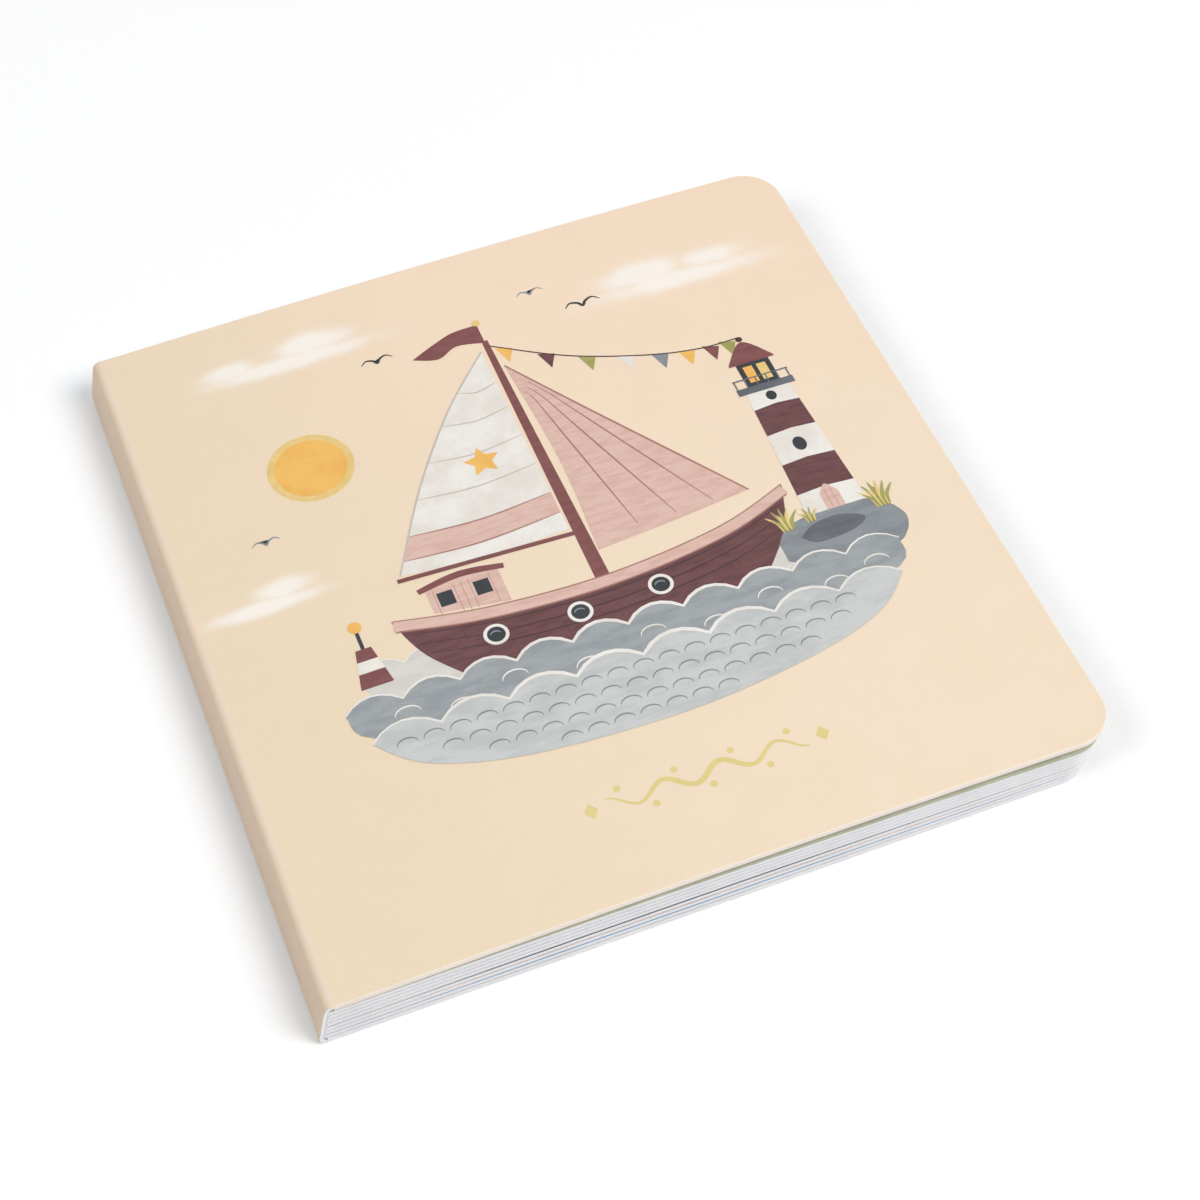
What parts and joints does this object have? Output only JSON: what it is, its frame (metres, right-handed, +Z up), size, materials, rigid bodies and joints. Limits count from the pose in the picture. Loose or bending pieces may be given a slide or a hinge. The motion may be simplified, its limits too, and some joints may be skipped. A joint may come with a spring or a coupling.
{
  "type": "board book",
  "caption": "Closed board book with thick card leaves, rounded fore corners and a folded card cover whose front and back both open.",
  "frame": {"origin": "middle of the underside of the closed book, on the surface it lies on", "axes": "+X from the spine to the fore edge, +Y from the tail to the head, +Z up through the front cover"},
  "size_m": [0.1672, 0.178, 0.0128],
  "materials": {
    "cover_card": "printed, matt film laminate",
    "page_card": "coated white card, cut edges"
  },
  "bodies": {
    "book_block": {"spine": "cover_card", "page_block": "page_card"},
    "front_cover": {"front_cover": "cover_card"},
    "back_cover": {"back_cover": "cover_card"}
  },
  "joints": [
    {"name": "front_cover_hinge", "type": "hinge", "parent": "book_block", "child": "front_cover", "pos_m": [-0.07962, 0, 0.01164], "axis": [0, -1, 0], "range_deg": [0, 180]},
    {"name": "back_cover_hinge", "type": "hinge", "parent": "book_block", "child": "back_cover", "pos_m": [-0.08211, 0, 0], "axis": [0, 1, 0], "range_deg": [0, 180]}
  ]
}
